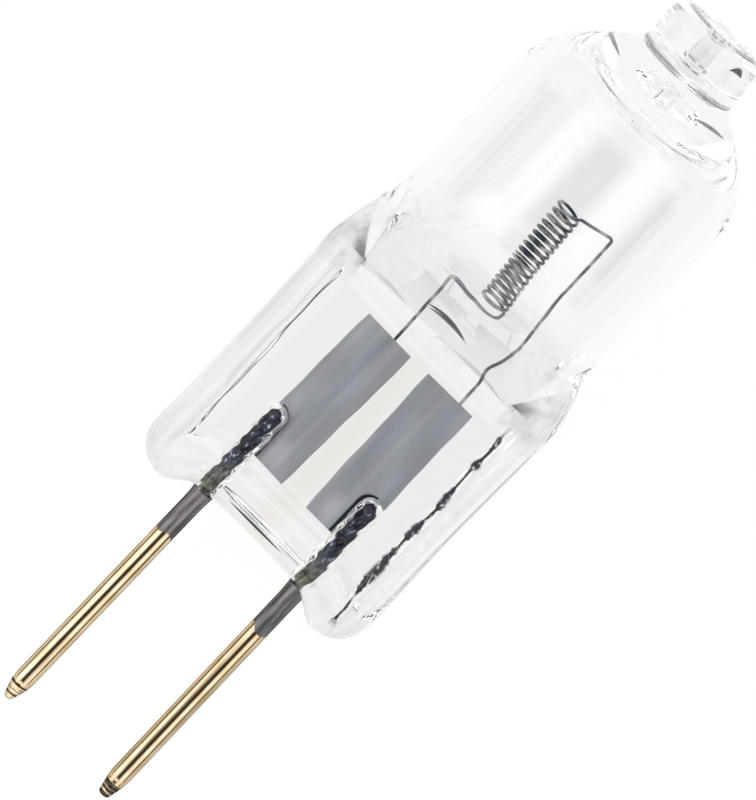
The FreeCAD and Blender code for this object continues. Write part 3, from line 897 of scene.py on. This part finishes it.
swing = times(tree, noise(tree, place, 0.4, detail=2.0, stretch=ONLY_ALONG), DARK_LINE_SWING)
opened = ramp(tree, share_up, [(0.27, 0.2), (0.33, 0.0)])
dark_line = plus(tree, plus(tree, opened, swing), DARK_LINE_PLACE)
from_dark_line = size_of(tree, plus(tree, sideways_place, dark_line))
along = noise(tree, place, 0.5, detail=5.0, stretch=ONLY_ALONG)
dark_line_breadth = ramp(tree, along, [(0.4, 0.04), (0.48, 0.12), (0.56, 0.34)])
in_dark_line = over(tree, from_dark_line, math_of(tree, "MAXIMUM", dark_line_breadth, LEAST_BREADTH))
# painted shade: the glass turns nearly black along the line
painted_shade_line = ramp(tree, in_dark_line, [(0.6, 1.0), (1.0, 0.0)])
ends = ramp(tree, share_up, [(0.27, 0.0), (0.28, 1.0), (0.51, 1.0), (0.525, 0.0)])
# noise breaks the painted shade into specks
shade_speckle_noise = noise(tree, place, 3.5, detail=3.0)
painted_shade_specks = ramp(tree, shade_speckle_noise, [(0.56, (0.002, 0.002, 0.003)), (0.7, (0.3, 0.3, 0.32))])
tint = blended(tree, times(tree, painted_shade_line, ends, near_face), tint, painted_shade_specks)

# %% [markdown]
# The corners of the shoulder, beside a slanting facet of the pinch, look grey and cloudy in the real lamp,
# with a dark wedge where the facet starts, because the glass there bends dark surroundings into view. Both
# are painted shade, laid on by the distance past the facet's slanting edge.

# %% Painted shade at the corners of the shoulder
FACET_HEIGHT = 26.85
FACET_PLACE = 4.6
FACET_SLOPE = 0.65

rising = less(tree, height, FACET_HEIGHT)
facet_edge = plus(tree, times(tree, math_of(tree, "MAXIMUM", rising, 0.0), FACET_SLOPE), FACET_PLACE)
past_facet = less(tree, from_middle, facet_edge)
corner_part = ramp(tree, past_facet, [(0.0, 0.0), (0.1, 1.0)])
shoulder_part = ramp(tree, share_up, [(0.508, 0.0), (0.53, 1.0), (0.57, 1.0), (0.6, 0.0)])
# a grey cloud of painted shade in the corners
painted_corner_shade = ramp(tree, noise(tree, place, 1.1, detail=3.0), [
    (0.36, (0.78, 0.77, 0.76)),
    (0.56, (0.54, 0.52, 0.51)),
    (0.66, (0.28, 0.28, 0.29)),
])
tint = blended(tree, times(tree, corner_part, shoulder_part, near_face), tint, painted_corner_shade)
# a dark wedge of painted shade where the facet starts
painted_wedge_aside = ramp(tree, past_facet, [(0.02, 0.0), (0.1, 1.0), (0.6, 0.9), (1.0, 0.0)])
painted_wedge_up = ramp(tree, rising, [(0.0, 0.0), (0.08, 1.0), (0.5, 0.8), (0.9, 0.0)])
tint = blended(tree, times(tree, painted_wedge_aside, painted_wedge_up, near_face), tint, (0.02, 0.02, 0.022))

# %% [markdown]
# A few thin dark arcs of painted shade lie across the glass: over the foot, over the foils, on the dome and
# on the stub, where the real glass shows dark edges by bending the light. Each is painted as a bow, highest
# in its middle and thinner towards its ends.

# %% Thin arcs of painted shade
# Each row: the height of its ends, its middle's place sideways, its half length, how far its middle stands
# up, its half breadth there, and the grey of its painted shade
SHADE_ARCS = [
    (14.5, 0.0, 1.75, 0.0, 0.1, 0.002),
    (27.6, 0.0, 1.25, 0.22, 0.12, 0.01),
    (26.85, 3.1, 1.2, 0.1, 0.1, 0.62),
    (26.65, -2.4, 1.9, 0.3, 0.1, 0.6),
    (26.5, -0.4, 0.5, 0.3, 0.08, 0.62),
    (41.85, 3.3, 0.95, 0.12, 0.09, 0.06),
    (42.15, -2.6, 0.75, 0.1, 0.09, 0.06),
    (44.65, -1.75, 0.28, 0.2, 0.2, 0.01),
]
LEAST_SHADE_ARC = 0.001

for arc_height, middle, reach, bow, breadth, shade in SHADE_ARCS:
    aside = over(tree, less(tree, sideways_place, middle), reach)
    narrowing = less(tree, 1.0, times(tree, aside, aside))
    above = less(tree, height, plus(tree, times(tree, narrowing, bow), arc_height))
    half_breadth = math_of(tree, "MAXIMUM", times(tree, narrowing, breadth), LEAST_SHADE_ARC)
    in_shade_arc = over(tree, size_of(tree, above), half_breadth)
    painted_arc_shade = times(tree, ramp(tree, in_shade_arc, [(0.6, 1.0), (1.0, 0.0)]), near_face)
    # painted shade: the glass takes on the arc's grey
    tint = blended(tree, painted_arc_shade, tint, (shade, shade, shade))

tree.links.new(tint, shader.inputs["Base Color"])
print("arcs painted into the glass:", len(SHADE_ARCS))

# %% [markdown]
# The surface is smooth, with very faint waves that only show where an edge is seen through it. The foot
# has small dents. Two Bump nodes in a row give both.

# %% Waves and dents in the glass
waves = noise(tree, place, 0.9, detail=1.0, stretch=(1.0, 1.0, 2.5))
rippled = add(tree, "ShaderNodeBump", {"Height": waves, "Strength": 0.05, "Distance": 0.0001})
foot_part = ramp(tree, share_up, [(0.25, 0.6), (0.27, 0.12), (0.285, 0.0)])
dents = times(tree, noise(tree, place, 1.7, detail=2.0), foot_part)
dented = add(tree, "ShaderNodeBump", {
    "Height": dents,
    "Strength": 0.6,
    "Distance": 0.0004,
    "Normal": rippled.outputs[0],
})
tree.links.new(dented.outputs[0], shader.inputs["Normal"])

# %% [markdown]
# ## Tungsten and foil
# Drawn tungsten wire is dark grey metal, and mottled here. Molybdenum foil is paler and satin, with faint
# streaks along its length. Round each sealed pin the foil's colour holds a dark crescent of painted shade,
# where the foil wraps the pin, and a soft painted highlight beside it.

# %% Tungsten
tungsten, tree, shader = material_with("tungsten", Metallic=1.0, Roughness=0.3)
place = lamp_place(tree)
mottle = noise(tree, place, 1.6, detail=3.0)
wire_colour = ramp(tree, mottle, [
    (0.38, (0.04, 0.045, 0.08)),
    (0.5, (0.18, 0.17, 0.17)),
    (0.66, (0.5, 0.49, 0.48)),
])
tree.links.new(wire_colour, shader.inputs["Base Color"])

# %% Foil
LOBE_ASIDE = 3.08
LOBE_TOP = 18.45
SHINE_ASIDE = 1.35
SHINE_HALF_WIDTH = 0.55
SHINE_HEIGHT = 17.3
SHINE_HALF_HEIGHT = 1.0

foil, tree, shader = material_with("foil", Metallic=1.0, Roughness=0.42)
place = lamp_place(tree)
through_place, sideways_place, height = parts_of(tree, place)
streaks = noise(tree, place, 1.6, detail=3.0, stretch=(1.0, 1.0, 14.0))
foil_colour = ramp(tree, streaks, [(0.3, (0.37, 0.385, 0.44)), (0.7, (0.5, 0.515, 0.57))])

# a dark crescent of painted shade round the top of each sealed pin, on the side towards the middle
aside = less(tree, size_of(tree, sideways_place), LOBE_ASIDE)
above = math_of(tree, "MAXIMUM", less(tree, height, LOBE_TOP), 0.0)
squares = plus(tree, math_of(tree, "POWER", aside, 2.0), math_of(tree, "POWER", above, 2.0))
painted_crescent_shade = ramp(tree, math_of(tree, "SQRT", squares), [(0.5, 0.0), (0.57, 1.0), (0.68, 1.0), (0.76, 0.0)])
painted_crescent_shade = times(tree, painted_crescent_shade, math_of(tree, "LESS_THAN", aside, 0.0))

# a soft painted highlight on the foil beside each pin
shine_aside = over(tree, plus(tree, aside, SHINE_ASIDE), SHINE_HALF_WIDTH)
shine_up = over(tree, less(tree, height, SHINE_HEIGHT), SHINE_HALF_HEIGHT)
from_painted_highlight = plus(tree, math_of(tree, "POWER", size_of(tree, shine_aside), 2.0),
                  math_of(tree, "POWER", size_of(tree, shine_up), 2.0))
painted_highlight = ramp(tree, from_painted_highlight, [(0.0, 0.3), (0.4, 0.14), (1.0, 0.0)])

foil_colour = blended(tree, painted_highlight, foil_colour, (0.85, 0.87, 0.92))
foil_colour = blended(tree, painted_crescent_shade, foil_colour, (0.012, 0.016, 0.03))
tree.links.new(foil_colour, shader.inputs["Base Color"])

# %% [markdown]
# ## Plated pins
# The pins are plated with gold up to a few millimetres below the glass, are matt grey next to it, and turn
# blue-black and flaked where they were sealed in, with an olive stain at the mouth of the glass. One
# material holds all four, because they are finishes of one rod. The plating has fine lines along the rod
# and worn rings at the nose.

# %% Gold, worn at the nose
pins, tree, shader = material_with("pins", Metallic=1.0, Roughness=0.2, Specular_Tint=(0.3, 0.25, 0.17, 1.0))
place = lamp_place(tree)
height = parts_of(tree, place)[2]
stain = noise(tree, place, 1.1, detail=3.0)
gold_colour = ramp(tree, stain, [(0.35, (0.68, 0.52, 0.32)), (0.65, (0.8, 0.66, 0.46))])
drawn = noise(tree, place, 3.2, detail=2.0, stretch=(1.0, 1.0, 45.0))
gold_colour = blended(tree, ramp(tree, drawn, [(0.3, 0.85), (0.44, 0.0)]), gold_colour, (0.2, 0.13, 0.07))
rings = noise(tree, place, 6.5, detail=2.0, stretch=(14.0, 14.0, 1.0))
at_nose = ramp(tree, height, [(0.0, 1.0), (0.95, 1.0), (1.0, 0.0)])
worn = times(tree, at_nose, ramp(tree, rings, [(0.49, 1.0), (0.6, 0.0)]))
gold_colour = blended(tree, worn, gold_colour, (0.06, 0.045, 0.035))

# %% Bare rod, olive stain and sealed end
PIN_HEIGHT_SCALE = 20.0
PLATED_TO = 11.3
PLATING_WAVE = 1.1
SEALED_START = 13.6

flakes = noise(tree, place, 4.2, detail=5.0, stretch=(1.0, 1.0, 1.5))
sealed_colour = ramp(tree, flakes, [
    (0.53, (0.003, 0.006, 0.024)),
    (0.6, (0.03, 0.055, 0.13)),
    (0.67, (0.6, 0.7, 0.92)),
])
olive_colour = ramp(tree, flakes, [(0.45, (0.035, 0.035, 0.025)), (0.62, (0.3, 0.29, 0.2))])
grain = noise(tree, place, 5.0, detail=3.0, stretch=(1.0, 1.0, 9.0))
bare_colour = ramp(tree, grain, [(0.35, (0.105, 0.1, 0.1)), (0.65, (0.28, 0.265, 0.26))])

edge_wave = times(tree, noise(tree, place, 0.9, detail=0.0), PLATING_WAVE)
bare = math_of(tree, "GREATER_THAN", plus(tree, height, edge_wave), PLATED_TO)
share_up = over(tree, height, PIN_HEIGHT_SCALE)
olive = ramp(tree, share_up, [(0.675, 0.0), (0.685, 1.0), (0.72, 1.0), (0.77, 0.0)])
sealed_in = math_of(tree, "GREATER_THAN", height, SEALED_START)
lower = blended(tree, bare, gold_colour, bare_colour)
upper = blended(tree, olive, sealed_colour, olive_colour)
tree.links.new(blended(tree, sealed_in, lower, upper), shader.inputs["Base Color"])
tree.links.new(ramp(tree, bare, [(0.0, 0.13), (1.0, 0.45)]), shader.inputs["Roughness"])

# %% [markdown]
# ## Put the lamp together
# Each grid becomes a mesh and takes the place of its CAD node. The two channels are cut out of the glass
# with a Boolean, the only shape here that a single grid can't give, because each breaks through the foot.

# %% Glass with its channels


def cut_out(mesh, tools):
    """The mesh less closed tool meshes, worked out exactly."""
    body = bpy.data.objects.new("glass_body", mesh)
    bpy.context.scene.collection.objects.link(body)
    for number, tool_mesh in enumerate(tools):
        tool = bpy.data.objects.new(f"channel_{number}", tool_mesh)
        bpy.context.scene.collection.objects.link(tool)
        cutter = body.modifiers.new(tool.name, "BOOLEAN")
        cutter.operation = "DIFFERENCE"
        cutter.solver = "EXACT"
        cutter.object = tool
    graph = bpy.context.evaluated_depsgraph_get()
    result = bpy.data.meshes.new_from_object(body.evaluated_get(graph))
    for cutter in list(body.modifiers):
        bpy.data.objects.remove(cutter.object)
    bpy.data.objects.remove(body)
    result.shade_smooth()
    result.set_sharp_from_angle(angle=math.radians(SHARP_DEGREES))
    return result


channels = [mesh_of(f"channel_{name}", [channel(side)]) for name, side in SIDES.items()]
glass_mesh = cut_out(mesh_of("skin", [skin, inner_skin]), channels)
glass_mesh.name = "glass"
shown("glass", glass_mesh, quartz, "quartz_envelope")

# %% Metal pieces
shown("filament_wire", mesh_of("filament_wire", [wire]), tungsten, "filament")
for name in SIDES:
    shown(f"ribbon_{name}", mesh_of(f"ribbon_{name}", [ribbons[name]]), foil, f"foil_{name}")
    shown(f"rod_{name}", mesh_of(f"rod_{name}", [rods[name]]), pins, f"pin_{name}")

# %% [markdown]
# ## The floor
# The lamp lies on a plain white floor. The camera, glass and metal should all see it white, while it still
# carries the lamp's shadow. So its material is a mix: to the rays that come from the camera, a mirror or
# through glass it is nearly all a glow of strength 1, and to the rest it is white paint.

# %% Floor
FLOOR_REACH = 3.0
GLOW_SHARE = 0.98
PAPER_WHITE = 0.95

floor_mesh = bpy.data.meshes.new("floor")
floor_corners = [(-FLOOR_REACH, -FLOOR_REACH, 0), (FLOOR_REACH, -FLOOR_REACH, 0),
                 (FLOOR_REACH, FLOOR_REACH, 0), (-FLOOR_REACH, FLOOR_REACH, 0)]
floor_mesh.from_pydata(floor_corners, [], [(0, 1, 2, 3)])
floor = bpy.data.objects.new("floor", floor_mesh)
bpy.context.scene.collection.objects.link(floor)
floor_paint = bpy.data.materials.new("floor_paint")
floor_paint.use_nodes = True
tree = floor_paint.node_tree
tree.nodes.clear()
rays = add(tree, "ShaderNodeLightPath").outputs
seen = math_of(tree, "MAXIMUM", rays["Is Camera Ray"], rays["Is Transmission Ray"])
seen = math_of(tree, "MAXIMUM", seen, rays["Is Glossy Ray"])
paint = add(tree, "ShaderNodeBsdfDiffuse", {"Color": (PAPER_WHITE, PAPER_WHITE, PAPER_WHITE, 1.0)})
glow = add(tree, "ShaderNodeEmission", {"Color": (1.0, 1.0, 1.0, 1.0), "Strength": 1.0})
share = times(tree, seen, GLOW_SHARE)
mixed = add(tree, "ShaderNodeMixShader", {0: share, 1: paint.outputs[0], 2: glow.outputs[0]})
output = add(tree, "ShaderNodeOutputMaterial")
tree.links.new(mixed.outputs[0], output.inputs["Surface"])
floor_mesh.materials.append(floor_paint)

# %% [markdown]
# ## The light
# Over the floor stands a tent of two bright walls. Glass and metal need something dark to reflect, or they
# would vanish, so the walls leave a gap overhead, where the camera looks in. The gap is short along the
# lamp: just long enough for the dark line down the middle of each pin, and not for the round glass. Low
# down at its two sides the tent is dark too, which gives the pins their side lines. The world is a colour
# for each direction, so the tent is a few ramps over the direction's three parts.

# %% Tent
TENT_LEVEL = 1.5
GAP_PLACE = -0.123
GAP_ALONG = -0.3

world = bpy.data.worlds.new("tent")
bpy.context.scene.world = world
world.use_nodes = True
tree = world.node_tree
tree.nodes.clear()
direction = add(tree, "ShaderNodeTexCoord").outputs["Generated"]
to_end, to_side, to_top = parts_of(tree, direction)
from_gap = size_of(tree, less(tree, to_side, GAP_PLACE))
walls = ramp(tree, from_gap, [(0.0, 0.02), (0.22, 0.03), (0.46, 1.0), (0.8, 1.0), (0.95, 0.6), (1.0, 0.5)])
sides = ramp(tree, size_of(tree, to_side), [(0.86, 1.0), (0.94, 0.04), (1.0, 0.04)])
along_gap = size_of(tree, less(tree, to_end, GAP_ALONG))
past_gap = ramp(tree, along_gap, [(0.24, 0.0), (0.45, 1.0)])
low = ramp(tree, to_top, [(0.0, 0.7), (0.3, 1.0)])
walls = add_colours(tree, "LIGHTEN", add_colours(tree, "MULTIPLY", walls, sides), past_gap)
tent = add_colours(tree, "MULTIPLY", walls, low)
background = add(tree, "ShaderNodeBackground", {"Color": tent, "Strength": TENT_LEVEL})
output = add(tree, "ShaderNodeOutputWorld")
tree.links.new(background.outputs[0], output.inputs["Surface"])

# %% [markdown]
# A large dim lamp at one side keeps the light from being quite even. Light that passes through a lamp of
# glass meets many surfaces, so it may bounce more often than usual before it is given up.

# %% Soft lamp and bounces
LAMP_SIZE = 0.6
LAMP_POWER = 0.5
LAMP_STAND = Vector((-0.1, 0.5, 0.42))
BOUNCES = 48

lamp_data = bpy.data.lights.new("soft_lamp", "AREA")
lamp_data.shape = "SQUARE"
lamp_data.size = LAMP_SIZE
lamp_data.energy = LAMP_POWER
soft_lamp = bpy.data.objects.new("soft_lamp", lamp_data)
soft_lamp.matrix_world = looking(LAMP_STAND, Vector((0, 0, 0)), Vector((0, 0, 1)))
bpy.context.scene.collection.objects.link(soft_lamp)

tracing = bpy.context.scene.cycles
tracing.max_bounces = BOUNCES
tracing.transmission_bounces = BOUNCES
tracing.glossy_bounces = BOUNCES
